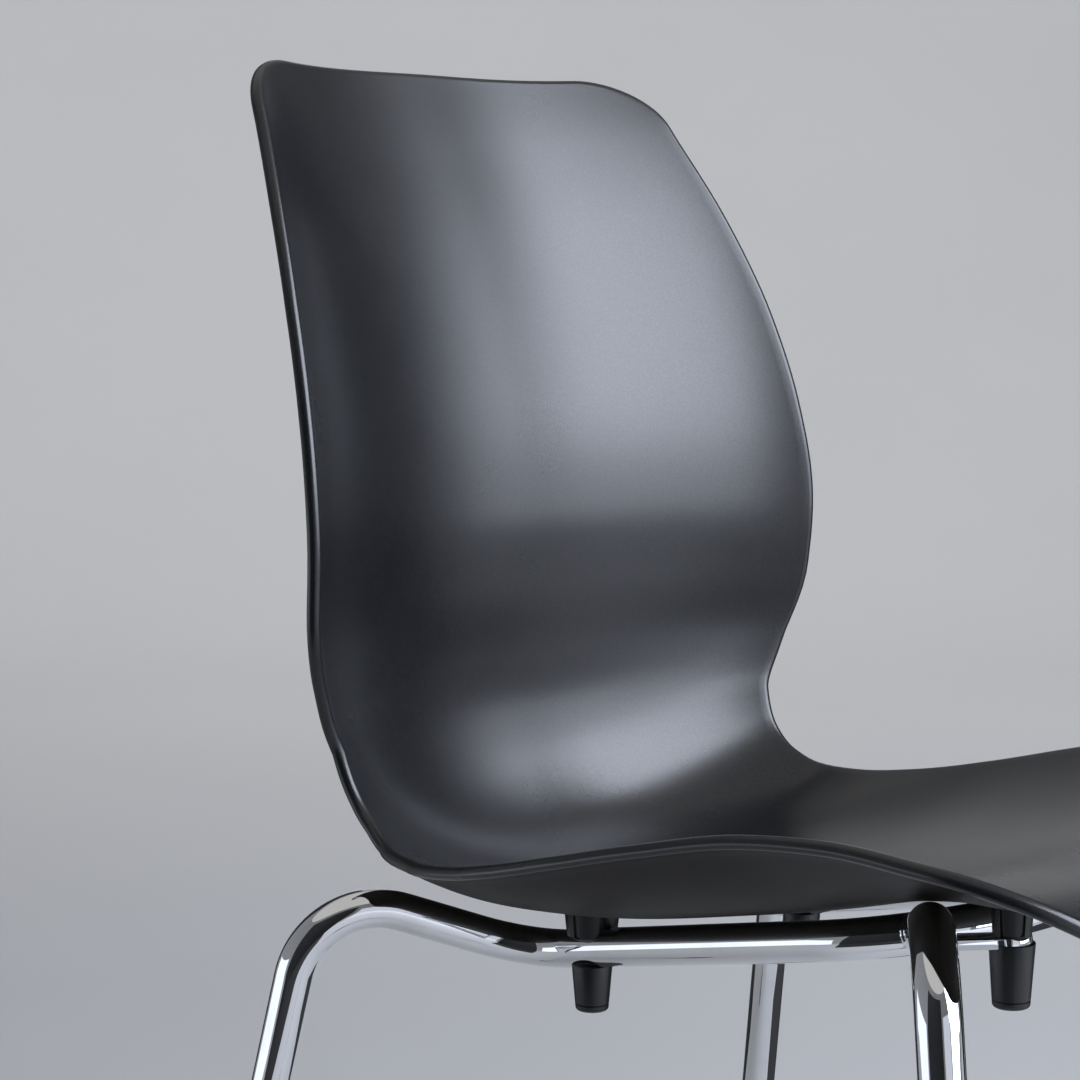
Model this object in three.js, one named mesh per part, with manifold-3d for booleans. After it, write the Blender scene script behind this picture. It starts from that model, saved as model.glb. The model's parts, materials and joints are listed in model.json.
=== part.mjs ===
// A stacking choir chair: one moulded plastic shell, dished in the seat and wrapped in the back,
// on a frame of bent round tube.
// One long tube makes both rear legs, the two rails and the crossbar under the front of the seat.
// The front legs are bent tubes coped onto the front corners of that tube, and a flat bar runs
// forward from each corner. Four screws rise through tapered stacking buffers, through the rails
// and the bars, into threaded inserts in bosses under the shell. Plastic glides close the feet.
//
// Frame: millimetres, +Z up, the sitter looks along -Y, the chair is alike on both sides of X = 0.
// Heights are counted from the floor. Lengths along Y are counted from the rear screws, and the
// finished chair is then shifted so that its origin lies under the middle of its bounding box.
import * as THREE from "three";
import { mergeVertices } from "three/addons/utils/BufferGeometryUtils.js";
import Module from "manifold-3d";

const wasm = await Module();
wasm.setup();

// Tube frame
const TUBE_DIAMETER = 20;
const TUBE_WALL = 2;
const RAIL_HEIGHT = 385; // the rails' centreline above the floor, at the rear screws
const RAIL_SPACING = 166; // between the two rails' centrelines
const CROSSBAR_REACH = 213; // the crossbar in front of the rear screws
const CROSSBAR_DROP = 18.7; // below the underside of the shell over the rails' front ends
const KINK_REACH = 43; // where the rails turn out to the rear legs, behind the rear screws
const REAR_SHOULDER_SPACING = 369;
const REAR_SHOULDER_REACH = 98; // behind the rear screws
const REAR_SHOULDER_RISE = 33; // above the rails at the rear screws
const REAR_FEET_SPACING = 466;
const REAR_FEET_REACH = 179.5; // behind the rear screws
const FRONT_SHOULDER_SPACING = 369;
const FRONT_SHOULDER_REACH = 290; // in front of the rear screws
const FRONT_SHOULDER_DROP = 15.7; // below the underside of the shell there
const FRONT_FEET_SPACING = 472;
const FRONT_FEET_REACH = 369; // in front of the rear screws
const LEG_BEND_RADIUS = 42; // all bend radii are to the tube's centreline
const KINK_RADIUS = 45;
const CORNER_RADIUS = 65;

// Flat bars that carry the front of the shell
const BAR_WIDTH = 21;
const BAR_THICKNESS = 5;
const BAR_DROP = 2; // the bar's middle below the line that the rails follow
const BAR_REACH = 44; // from the crossbar to the front screws; the bar's round end is about them

// Shell
const SHELL_DEPTH = 577; // from the front edge of the seat to the top edge of the back
const SHELL_RISE = 453; // from the rails at the rear screws to the top edge
const SHELL_WIDTH = 408; // the seat at its widest
const DISH_DEPTH = 44; // how far the rim stands up or forward from the middle
const SHELL_WALL = 6;
const SEAT_CORNER_RADIUS = 55;
const BACK_CORNER_RADIUS = 40;
const SEAT_EDGE_BOW = 8; // how far the front edge bows out in the middle
const BACK_EDGE_BOW = 20; // how far the top edge bows up in the middle
const BOW_FADE = 130; // the bows fade out over this length
const SHELL_GAP = 7.5; // from the top of the rails to the shell, at the rear screws

// Bosses under the shell, threaded inserts and screws
const REAR_BOSS_FOOT_DIAMETER = 25.5;
const FRONT_BOSS_FOOT_DIAMETER = 17;
const BOSS_SPREAD = 3; // how much wider a boss is at the shell
const BOSS_WRAP = 3; // how far a rear boss reaches down beside the tube
const BOSS_GROOVE = 1.1;
const INSERT_DIAMETER = 8.4;
const INSERT_LENGTH = 7;
const SCREW_DIAMETER = 5.5;
const SCREW_HEAD_DIAMETER = 10;
const SCREW_HEAD_HEIGHT = 3.2;
const SCREW_SOCKET_WIDTH = 4;
const SCREW_SOCKET_DEPTH = 2;

// Stacking buffers
const BUFFER_DEPTH = 32; // from the rails' centreline down to a buffer's flat end
const BUFFER_TOP_DIAMETER = 20.8;
const BUFFER_END_DIAMETER = 17;
const BUFFER_EDGE_RADIUS = 2;
const BUFFER_WRAP = 2; // how far a rear buffer reaches up beside the tube
const BUFFER_COUNTERBORE_DEPTH = 15;

// Glides at the feet
const GLIDE_LENGTH = 34; // measured up the leg
const GLIDE_WALL = 2.6;
const GLIDE_FLOOR = 6; // plastic under the tube's end
const GLIDE_FLARE = 1.6; // how much further a glide stands out at the floor
const GLIDE_EDGE = 2;

// Gap between pieces that touch, and overrun of the tools that cut holes
const FIT_GAP = 0.3;
const SCREW_CLEARANCE = 0.5;
const CUT_OVERRUN = 12;

// Counts that set how fine the facets are
const TUBE_SIDES = 14;
const BEND_STEPS = 5;
const SHELL_COLUMNS = 20;
const CORNER_ROWS = 5;
const SHELL_ROWS = 28;
const ROUND_SIDES = 16;
const BAR_END_STEPS = 6;
const BOSS_SIDES = 24;
const BOSS_GROOVE_EVERY = 4;
const SOCKET_SIDES = 6;
const SEARCH_STEPS = 30;

// The shell's middle line from the front edge of the seat to the top of the back. Each row holds
// the place behind the rear screws as a share of the depth, the height above the rails there as a
// share of the rise, the half width as a share of the seat's half width, and the share of the dish.
const middleLineShares = [
  [-0.622, 0.13, 0.995, 0.8],
  [-0.596, 0.145, 0.995, 0.78],
  [-0.56, 0.1535, 0.995, 0.79],
  [-0.51, 0.1535, 0.995, 0.86],
  [-0.44, 0.147, 0.985, 0.95],
  [-0.35, 0.128, 0.985, 1.02],
  [-0.255, 0.0975, 0.99, 1.03],
  [-0.165, 0.0735, 0.985, 1.0],
  [-0.075, 0.052, 0.96, 0.95],
  [0.0, 0.038, 0.912, 0.9],
  [0.06, 0.03, 0.86, 0.88],
  [0.12, 0.034, 0.817, 0.87],
  [0.172, 0.064, 0.79, 0.87],
  [0.211, 0.122, 0.78, 0.87],
  [0.231, 0.2, 0.795, 0.9],
  [0.233, 0.28, 0.86, 0.94],
  [0.227, 0.37, 0.922, 1.01],
  [0.224, 0.46, 0.932, 1.01],
  [0.237, 0.57, 0.915, 1.0],
  [0.262, 0.68, 0.882, 0.95],
  [0.296, 0.79, 0.83, 0.86],
  [0.337, 0.9, 0.764, 0.755],
  [0.376, 0.997, 0.716, 0.67],
];
const DISH_POWER = 2.66; // the dish is flat in the middle and steeper near the rim
const RIM_ROUND_SHARE = 0.42; // of the wall, how far the rounded rim bulges
const SEAT_LENGTH_SHARE = 0.55; // of the middle line, up to well inside the bend

const PROBE_SHARE = 0.002; // of the middle line, to measure the surface's slope
const PROBE = SHELL_WALL / 10;

const TUBE_RADIUS = TUBE_DIAMETER / 2;
const FRONT_SCREW_REACH = CROSSBAR_REACH + BAR_REACH; // in front of the rear screws
const MERGE_TOLERANCE = FIT_GAP / 1000;

// Solids and cuts

function solidOf(geometry) {
  const bare = geometry.index ? geometry.toNonIndexed() : geometry.clone();
  bare.deleteAttribute("normal");
  bare.deleteAttribute("uv");
  const merged = mergeVertices(bare, MERGE_TOLERANCE);
  return new wasm.Manifold(
    new wasm.Mesh({
      numProp: 3,
      vertProperties: merged.attributes.position.array,
      triVerts: new Uint32Array(merged.index.array),
    }),
  );
}

function geometryOf(solid) {
  const { numProp, vertProperties, triVerts } = solid.getMesh();
  const geometry = new THREE.BufferGeometry();
  geometry.setAttribute("position", new THREE.BufferAttribute(vertProperties, numProp));
  geometry.setIndex(new THREE.BufferAttribute(triVerts, 1));
  return geometry;
}

function cut(geometry, ...cutters) {
  let solid = solidOf(geometry);
  for (const cutter of cutters) solid = solid.subtract(solidOf(cutter));
  return geometryOf(solid);
}

function join(geometry, ...others) {
  let solid = solidOf(geometry);
  for (const other of others) solid = solid.add(solidOf(other));
  return geometryOf(solid);
}

// A regular polygon in a circle, as points of an outline
function ring(radius, sides) {
  return Array.from({ length: sides }, (_, i) => {
    const angle = (2 * Math.PI * i) / sides;
    return new THREE.Vector2(radius * Math.cos(angle), radius * Math.sin(angle));
  });
}

// A solid of revolution about Z. The profile lists [radius, height] points, with the solid on
// the left of the line, and starts and ends on the axis or closes on itself.
function turned(profile, sides = ROUND_SIDES) {
  const points = profile.map(([radius, height]) => new THREE.Vector2(radius, height));
  return new THREE.LatheGeometry(points, sides).rotateX(Math.PI / 2);
}

// A straight round rod between two heights, standing at x, y
function rod(x, y, low, high, radius) {
  const profile = [
    [0, low],
    [radius, low],
    [radius, high],
    [0, high],
  ];
  return turned(profile).translate(x, y, 0);
}

// A path of straight runs joined by arcs, with stations only where a bend needs them
class BentPath extends THREE.Curve {
  constructor(corners, radii) {
    super();
    const run = (i) => corners[i + 1].clone().sub(corners[i]).normalize();
    this.stations = [[corners[0], run(0)]];
    for (let i = 1; i < corners.length - 1; i++) this.bend(corners[i], run(i - 1), run(i), radii[i - 1]);
    this.stations.push([corners.at(-1), run(corners.length - 2)]);
  }
  bend(corner, into, out, radius) {
    const turn = into.angleTo(out);
    const inward = out.clone().addScaledVector(into, -out.dot(into)).normalize();
    const start = corner.clone().addScaledVector(into, -radius * Math.tan(turn / 2));
    const centre = start.clone().addScaledVector(inward, radius);
    for (let k = 0; k <= BEND_STEPS; k++) {
      const angle = (turn * k) / BEND_STEPS;
      const [c, s] = [Math.cos(angle), Math.sin(angle)];
      const point = centre.clone().addScaledVector(inward, -radius * c).addScaledVector(into, radius * s);
      this.stations.push([point, into.clone().multiplyScalar(c).addScaledVector(inward, s)]);
    }
  }
  get steps() {
    return this.stations.length - 1;
  }
  getPointAt(share, target = new THREE.Vector3()) {
    return target.copy(this.stations[Math.round(share * this.steps)][0]);
  }
  getTangentAt(share, target = new THREE.Vector3()) {
    return target.copy(this.stations[Math.round(share * this.steps)][1]);
  }
}

// A round tube along a path: hollow when an inner radius is given
function tubeAlong(path, radius, innerRadius = 0) {
  const section = new THREE.Shape(ring(radius, TUBE_SIDES));
  if (innerRadius) section.holes.push(new THREE.Path(ring(innerRadius, TUBE_SIDES)));
  return new THREE.ExtrudeGeometry(section, { steps: path.steps, extrudePath: path, bevelEnabled: false });
}

// The shell's surface

const middleLine = new THREE.CatmullRomCurve3(
  middleLineShares.map(([y, z]) => new THREE.Vector3(0, y * SHELL_DEPTH, z * SHELL_RISE)),
);
const spread = new THREE.CatmullRomCurve3(
  middleLineShares.map(([, , w, d]) => new THREE.Vector3((w * SHELL_WIDTH) / 2, d * DISH_DEPTH, 0)),
);
const middleLength = middleLine.getLength();

// A point of the upper surface, at a share of the middle line and a distance across
function surfacePoint(share, x) {
  const t = middleLine.getUtoTmapping(share);
  const run = middleLine.getTangent(t);
  const { x: half, y: dish } = spread.getPoint(t);
  const rise = dish * Math.abs(x / half) ** DISH_POWER;
  const point = middleLine.getPoint(t);
  return point.add(new THREE.Vector3(x, -run.z * rise, run.y * rise));
}

function surfaceNormal(share, x) {
  const back = surfacePoint(Math.min(share + PROBE_SHARE, 1), x);
  const front = surfacePoint(Math.max(share - PROBE_SHARE, 0), x);
  const across = surfacePoint(share, x + PROBE).sub(surfacePoint(share, x - PROBE));
  return across.cross(back.sub(front)).normalize();
}

// Height of the surface that lies `depth` under the seat's upper surface, at x, y
function seatHeight(x, y, depth) {
  let [near, far] = [0, SEAT_LENGTH_SHARE];
  for (let k = 0; k < SEARCH_STEPS; k++) {
    const middle = (near + far) / 2;
    if (surfacePoint(middle, x).y < y) near = middle;
    else far = middle;
  }
  return surfacePoint(near, x).z - depth / surfaceNormal(near, x).z;
}

// The shell stands over the rails at the rear screws, and the rails' tilt follows its underside
const shellLift =
  RAIL_HEIGHT + TUBE_RADIUS + SHELL_GAP - seatHeight(RAIL_SPACING / 2, 0, SHELL_WALL);
const undersideAt = (x, y) => shellLift + seatHeight(x, y, SHELL_WALL);
const crossbarRise = undersideAt(RAIL_SPACING / 2, -CROSSBAR_REACH) - CROSSBAR_DROP - RAIL_HEIGHT;
const RAIL_TILT = Math.atan(crossbarRise / CROSSBAR_REACH);

// Frame points. side is -1 for the sitter's right and 1 for the sitter's left.

// The line that the rails follow: its height at a place in front of the rear screws
const railHeight = (reach) => RAIL_HEIGHT + reach * Math.tan(RAIL_TILT);

const railPoint = (side, reach) =>
  new THREE.Vector3((side * RAIL_SPACING) / 2, -reach, railHeight(reach));
const rearShoulder = (side) =>
  new THREE.Vector3(
    (side * REAR_SHOULDER_SPACING) / 2,
    REAR_SHOULDER_REACH,
    RAIL_HEIGHT + REAR_SHOULDER_RISE,
  );
const frontShoulder = (side) => {
  const [x, y] = [(side * FRONT_SHOULDER_SPACING) / 2, -FRONT_SHOULDER_REACH];
  return new THREE.Vector3(x, y, undersideAt(x, y) - FRONT_SHOULDER_DROP);
};
const rearFoot = (side) => new THREE.Vector3((side * REAR_FEET_SPACING) / 2, REAR_FEET_REACH, 0);
const frontFoot = (side) => new THREE.Vector3((side * FRONT_FEET_SPACING) / 2, -FRONT_FEET_REACH, 0);

// Where a leg's tube ends, above its glide's floor
function tubeEnd(foot, shoulder) {
  const up = shoulder.clone().sub(foot).normalize();
  return foot.clone().addScaledVector(up, GLIDE_FLOOR + FIT_GAP);
}

const mainPath = new BentPath(
  [
    tubeEnd(rearFoot(-1), rearShoulder(-1)),
    rearShoulder(-1),
    railPoint(-1, -KINK_REACH),
    railPoint(-1, CROSSBAR_REACH),
    railPoint(1, CROSSBAR_REACH),
    railPoint(1, -KINK_REACH),
    rearShoulder(1),
    tubeEnd(rearFoot(1), rearShoulder(1)),
  ],
  [LEG_BEND_RADIUS, KINK_RADIUS, CORNER_RADIUS, CORNER_RADIUS, KINK_RADIUS, LEG_BEND_RADIUS],
);
const mainTubeRoom = () => tubeAlong(mainPath, TUBE_RADIUS + FIT_GAP);

// The middle of a front corner's bend, where the front leg's line meets the main tube's line
function cornerMiddle(side) {
  const inset = CORNER_RADIUS * (1 - Math.SQRT1_2);
  const reach = CROSSBAR_REACH - inset * Math.cos(RAIL_TILT);
  return new THREE.Vector3(side * (RAIL_SPACING / 2 - inset), -reach, railHeight(reach));
}

const frontLegPath = (side) =>
  new BentPath(
    [tubeEnd(frontFoot(side), frontShoulder(side)), frontShoulder(side), cornerMiddle(side)],
    [LEG_BEND_RADIUS],
  );

// Screws: where they stand, and the height of what they hold there
const screwPlaces = ["rear", "front"].flatMap((end) =>
  [-1, 1].map((side) => {
    const reach = end === "rear" ? 0 : FRONT_SCREW_REACH;
    const line = railHeight(reach);
    const onTube = end === "rear";
    return {
      name: `${end}_${side < 0 ? "right" : "left"}`,
      onTube,
      x: (side * RAIL_SPACING) / 2,
      y: -reach,
      line,
      top: onTube ? line + TUBE_RADIUS : line - BAR_DROP + BAR_THICKNESS / 2,
      bottom: onTube ? line - TUBE_RADIUS : line - BAR_DROP - BAR_THICKNESS / 2,
    };
  }),
);

const screwRoom = ({ x, y, line }) =>
  rod(x, y, line - TUBE_DIAMETER, line + TUBE_DIAMETER, SCREW_DIAMETER / 2 + SCREW_CLEARANCE);

// Shell

// How much a rounded corner takes off the half width, at a distance from the edge it rounds
function cornerCut(distance, radius) {
  return distance >= radius ? 0 : radius - Math.sqrt(radius ** 2 - (radius - distance) ** 2);
}

function halfWidthAt(share) {
  const half = spread.getPoint(middleLine.getUtoTmapping(share)).x;
  const fromFront = share * middleLength;
  const fromTop = middleLength - fromFront;
  return half - cornerCut(fromFront, SEAT_CORNER_RADIUS) - cornerCut(fromTop, BACK_CORNER_RADIUS);
}

// How much the bowed front and top edges draw a point in along the shell, away from the middle
function bowAt(share, across) {
  const fade = (distance) => Math.max(0, 1 - distance / BOW_FADE) ** 2;
  const fromFront = share * middleLength;
  const drawn = SEAT_EDGE_BOW * fade(fromFront) - BACK_EDGE_BOW * fade(middleLength - fromFront);
  return (drawn * across ** 2) / middleLength;
}

// Rows of the shell's grid: close together round the corners, even between them
function shellRows() {
  const arc = (radius, k) => radius * (1 - Math.cos((k / CORNER_ROWS) * (Math.PI / 2)));
  const rows = [];
  for (let k = 0; k < CORNER_ROWS; k++) rows.push(arc(SEAT_CORNER_RADIUS, k));
  const between = middleLength - SEAT_CORNER_RADIUS - BACK_CORNER_RADIUS;
  for (let k = 0; k <= SHELL_ROWS; k++) rows.push(SEAT_CORNER_RADIUS + (between * k) / SHELL_ROWS);
  for (let k = CORNER_ROWS - 1; k >= 0; k--) rows.push(middleLength - arc(BACK_CORNER_RADIUS, k));
  return rows.map((distance) => distance / middleLength);
}

// The closed skin of the shell: an upper and a lower grid, joined round the rim by a rounded edge
function shellSkin() {
  const rows = shellRows();
  const upper = [];
  const lower = [];
  const normals = [];
  for (const share of rows) {
    const half = halfWidthAt(share);
    for (let j = 0; j <= SHELL_COLUMNS; j++) {
      const x = half * ((2 * j) / SHELL_COLUMNS - 1);
      const bowed = share + bowAt(share, (2 * x) / SHELL_WIDTH);
      const normal = surfaceNormal(bowed, x);
      const point = surfacePoint(bowed, x);
      upper.push(point);
      normals.push(normal);
      lower.push(point.clone().addScaledVector(normal, -SHELL_WALL));
    }
  }
  const at = (i, j) => i * (SHELL_COLUMNS + 1) + j;
  const last = rows.length - 1;
  const loop = [];
  for (let j = 0; j < SHELL_COLUMNS; j++) loop.push(at(0, j));
  for (let i = 0; i < last; i++) loop.push(at(i, SHELL_COLUMNS));
  for (let j = SHELL_COLUMNS; j > 0; j--) loop.push(at(last, j));
  for (let i = last; i > 0; i--) loop.push(at(i, 0));
  const rim = loop.map((index, k) => {
    const next = upper[loop[(k + 1) % loop.length]];
    const previous = upper[loop.at(k - 1)];
    const outward = next.clone().sub(previous).cross(normals[index]).normalize();
    const middle = upper[index].clone().add(lower[index]).multiplyScalar(1 / 2);
    return middle.addScaledVector(outward, SHELL_WALL * RIM_ROUND_SHARE);
  });
  const count = upper.length;
  const faces = [];
  const quad = (a, b, c, d) => faces.push(a, b, c, a, c, d);
  for (let i = 0; i < last; i++)
    for (let j = 0; j < SHELL_COLUMNS; j++) {
      const corners = [at(i, j), at(i, j + 1), at(i + 1, j + 1), at(i + 1, j)];
      quad(...corners);
      quad(...corners.map((index) => index + count).reverse());
    }
  loop.forEach((index, k) => {
    const nextIndex = loop[(k + 1) % loop.length];
    const middle = 2 * count + k;
    const nextMiddle = 2 * count + ((k + 1) % loop.length);
    quad(index, middle, nextMiddle, nextIndex);
    quad(middle, index + count, nextIndex + count, nextMiddle);
  });
  const geometry = new THREE.BufferGeometry().setFromPoints([...upper, ...lower, ...rim]);
  geometry.setIndex(faces);
  return geometry;
}

// A grooved boss that grows out of the shell's underside
function boss({ x, y, line, top, onTube }) {
  const foot = onTube ? line + TUBE_RADIUS - BOSS_WRAP : top + FIT_GAP;
  const radius = (onTube ? REAR_BOSS_FOOT_DIAMETER : FRONT_BOSS_FOOT_DIAMETER) / 2;
  const points = [new THREE.Vector3(x, y, foot)];
  const faces = [];
  const reach = (k) => (k % BOSS_GROOVE_EVERY === 0 ? BOSS_GROOVE : 0);
  for (let k = 0; k < BOSS_SIDES; k++) {
    const angle = (2 * Math.PI * k) / BOSS_SIDES;
    for (const [size, height] of [
      [radius, () => foot],
      [radius + BOSS_SPREAD / 2, (px, py) => shellLift + seatHeight(px, py, SHELL_WALL / 2)],
    ]) {
      const px = x + (size - reach(k)) * Math.cos(angle);
      const py = y + (size - reach(k)) * Math.sin(angle);
      points.push(new THREE.Vector3(px, py, height(px, py)));
    }
  }
  points.push(new THREE.Vector3(x, y, shellLift + seatHeight(x, y, SHELL_WALL / 2)));
  const crown = points.length - 1;
  for (let k = 0; k < BOSS_SIDES; k++) {
    const a = 1 + 2 * k;
    const b = 1 + 2 * ((k + 1) % BOSS_SIDES);
    faces.push(0, b, a, a, b, b + 1, a, b + 1, a + 1, crown, a + 1, b + 1);
  }
  const geometry = new THREE.BufferGeometry().setFromPoints(points);
  geometry.setIndex(faces);
  return geometry;
}

// A bar's solid, grown by some room: from the front leg's line, seen from above, to the front
// screw, where its end is round
function barBlock(side, room) {
  const half = BAR_WIDTH / 2 + room;
  const middle = (side * RAIL_SPACING) / 2;
  const corner = cornerMiddle(side);
  const run = frontShoulder(side).sub(corner);
  const legLineAt = (x) => corner.y + ((middle + x - corner.x) * run.y) / run.x;
  const start = (x) => new THREE.Vector2(x, (FRONT_SCREW_REACH + legLineAt(x)) / Math.cos(RAIL_TILT));
  const outline = [start(half), start(-half)];
  for (let k = 0; k <= BAR_END_STEPS; k++) {
    const angle = Math.PI + (Math.PI * k) / BAR_END_STEPS;
    outline.push(new THREE.Vector2(half * Math.cos(angle), half * Math.sin(angle)));
  }
  const depth = BAR_THICKNESS + 2 * room;
  return new THREE.ExtrudeGeometry(new THREE.Shape(outline), { depth, bevelEnabled: false })
    .translate(0, 0, -depth / 2)
    .rotateX(-RAIL_TILT)
    .translate(middle, -FRONT_SCREW_REACH, railHeight(FRONT_SCREW_REACH) - BAR_DROP);
}

// An insert's foot clears the tilted tube or bar under it
const insertFoot = ({ top }) => top + (INSERT_DIAMETER / 2) * Math.tan(RAIL_TILT) + 2 * FIT_GAP;

const insertRoom = (place) =>
  rod(
    place.x,
    place.y,
    place.top - CUT_OVERRUN,
    insertFoot(place) + INSERT_LENGTH + FIT_GAP,
    INSERT_DIAMETER / 2 + FIT_GAP,
  );

function shell() {
  const skin = shellSkin().translate(0, 0, shellLift);
  const rooms = [mainTubeRoom(), barBlock(-1, FIT_GAP), barBlock(1, FIT_GAP)];
  return cut(join(skin, ...screwPlaces.map(boss)), ...rooms, ...screwPlaces.map(insertRoom));
}

// Frame pieces

const mainTube = () =>
  cut(
    tubeAlong(mainPath, TUBE_RADIUS, TUBE_RADIUS - TUBE_WALL),
    ...screwPlaces.filter((place) => place.onTube).map(screwRoom),
  );

const frontLeg = (side) =>
  cut(tubeAlong(frontLegPath(side), TUBE_RADIUS, TUBE_RADIUS - TUBE_WALL), mainTubeRoom());

const bar = (side) =>
  cut(
    barBlock(side, 0),
    mainTubeRoom(),
    tubeAlong(frontLegPath(side), TUBE_RADIUS + FIT_GAP),
    ...screwPlaces.filter((place) => !place.onTube && place.x * side > 0).map(screwRoom),
  );

// Fasteners and plastic fittings

function insert(place) {
  const foot = insertFoot(place);
  const bore = SCREW_DIAMETER / 2 + FIT_GAP;
  const profile = [
    [bore, foot],
    [INSERT_DIAMETER / 2, foot],
    [INSERT_DIAMETER / 2, foot + INSERT_LENGTH],
    [bore, foot + INSERT_LENGTH],
    [bore, foot],
  ];
  return turned(profile).translate(place.x, place.y, 0);
}

const bufferEnd = ({ line }) => line - BUFFER_DEPTH;
const screwSeat = (place) => bufferEnd(place) + BUFFER_COUNTERBORE_DEPTH;

function screw(place) {
  const seat = screwSeat(place) - FIT_GAP;
  const tip = insertFoot(place) + INSERT_LENGTH;
  const head = SCREW_HEAD_DIAMETER / 2;
  const edge = SCREW_HEAD_HEIGHT / 3;
  const profile = [
    [0, seat - SCREW_HEAD_HEIGHT],
    [head - edge, seat - SCREW_HEAD_HEIGHT],
    [head, seat - SCREW_HEAD_HEIGHT + edge],
    [head, seat],
    [SCREW_DIAMETER / 2, seat],
    [SCREW_DIAMETER / 2, tip],
    [0, tip],
  ];
  const socketTop = seat - SCREW_HEAD_HEIGHT + SCREW_SOCKET_DEPTH;
  const socket = new THREE.CylinderGeometry(
    SCREW_SOCKET_WIDTH / 2,
    SCREW_SOCKET_WIDTH / 2,
    SCREW_SOCKET_DEPTH + CUT_OVERRUN,
    SOCKET_SIDES,
  )
    .rotateX(Math.PI / 2)
    .translate(0, 0, socketTop - (SCREW_SOCKET_DEPTH + CUT_OVERRUN) / 2);
  return cut(turned(profile), socket).translate(place.x, place.y, 0);
}

function buffer(place) {
  const end = bufferEnd(place);
  const crown = place.bottom + BUFFER_WRAP;
  const radius = BUFFER_END_DIAMETER / 2;
  const bore = SCREW_DIAMETER / 2 + SCREW_CLEARANCE;
  const counterbore = SCREW_HEAD_DIAMETER / 2 + SCREW_CLEARANCE;
  const profile = [
    [counterbore, end],
    [radius - BUFFER_EDGE_RADIUS, end],
    [radius - BUFFER_EDGE_RADIUS * (1 - Math.SQRT1_2), end + BUFFER_EDGE_RADIUS * (1 - Math.SQRT1_2)],
    [radius, end + BUFFER_EDGE_RADIUS],
    [BUFFER_TOP_DIAMETER / 2, crown],
    [bore, crown],
    [bore, screwSeat(place)],
    [counterbore, screwSeat(place)],
    [counterbore, end],
  ];
  const body = turned(profile).translate(place.x, place.y, 0);
  if (place.onTube) return cut(body, mainTubeRoom());
  return cut(body, barBlock(Math.sign(place.x), FIT_GAP));
}

// A glide: a cup over the tube's end, with its axis along the leg, cut level with the floor
function glide(foot, shoulder) {
  const inner = TUBE_RADIUS + FIT_GAP;
  const outer = inner + GLIDE_WALL;
  const below = -outer;
  const profile = [
    [0, below],
    [outer + GLIDE_FLARE, below],
    [outer + GLIDE_FLARE, GLIDE_FLOOR],
    [outer, GLIDE_LENGTH - GLIDE_EDGE],
    [outer - GLIDE_WALL / 2, GLIDE_LENGTH],
    [inner, GLIDE_LENGTH],
    [inner, GLIDE_FLOOR],
    [0, GLIDE_FLOOR],
  ];
  const up = shoulder.clone().sub(foot).normalize();
  const turn = new THREE.Quaternion().setFromUnitVectors(new THREE.Vector3(0, 0, 1), up);
  const cup = turned(profile).applyQuaternion(turn).translate(foot.x, foot.y, 0);
  const ground = new THREE.BoxGeometry(4 * outer, 4 * outer, 4 * outer);
  return cut(cup, ground.translate(foot.x, foot.y, -2 * outer));
}

// Materials
const material = (name, color, roughness, metalness) => {
  const made = new THREE.MeshStandardMaterial({ color, roughness, metalness });
  made.name = name;
  return made;
};
const shellPlastic = material("shell_plastic", 0x2c2d31, 0.45, 0);
const chrome = material("chrome", 0xd8dade, 0.06, 1);
const blackPlastic = material("black_plastic", 0x232326, 0.5, 0);
const zincSteel = material("zinc_steel", 0xa9abae, 0.35, 1);
const brass = material("brass", 0xb08d4a, 0.35, 1);

// Assembly
const chair = new THREE.Group();

function add(name, geometry, finish) {
  const mesh = new THREE.Mesh(geometry, finish);
  mesh.name = name;
  chair.add(mesh);
}

add("seat_shell", shell(), shellPlastic);
add("main_frame_tube", mainTube(), chrome);
for (const [word, side] of [
  ["right", -1],
  ["left", 1],
]) {
  add(`front_leg_${word}`, frontLeg(side), chrome);
  add(`front_bar_${word}`, bar(side), chrome);
  add(`front_glide_${word}`, glide(frontFoot(side), frontShoulder(side)), blackPlastic);
  add(`rear_glide_${word}`, glide(rearFoot(side), rearShoulder(side)), blackPlastic);
}
for (const place of screwPlaces) {
  add(`stacking_buffer_${place.name}`, buffer(place), blackPlastic);
  add(`seat_screw_${place.name}`, screw(place), zincSteel);
  add(`threaded_insert_${place.name}`, insert(place), brass);
}

// The origin lies on the floor, under the middle of the bounding box
const middle = new THREE.Box3().setFromObject(chair, true).getCenter(new THREE.Vector3());
chair.position.set(-middle.x, -middle.y, 0);

export default chair;
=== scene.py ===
# %% [markdown]
# # A stacking choir chair
# The chair is one moulded plastic shell on a frame of bent, chromed tube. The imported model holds
# every piece at its real size, with flat facets. This lesson dresses it: the pieces that show get
# smooth surfaces in the same places, and every piece gets a finish. Lengths are in metres, +Z is
# up, and the sitter looks along -Y.

# %% Load the frame
import json
import math

import bmesh
import bpy
import numpy as np
from bmesh.types import BMEdge, BMFace, BMVert
from mathutils import Matrix, Quaternion, Vector
from mathutils.bvhtree import BVHTree
from mathutils.kdtree import KDTree


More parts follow.
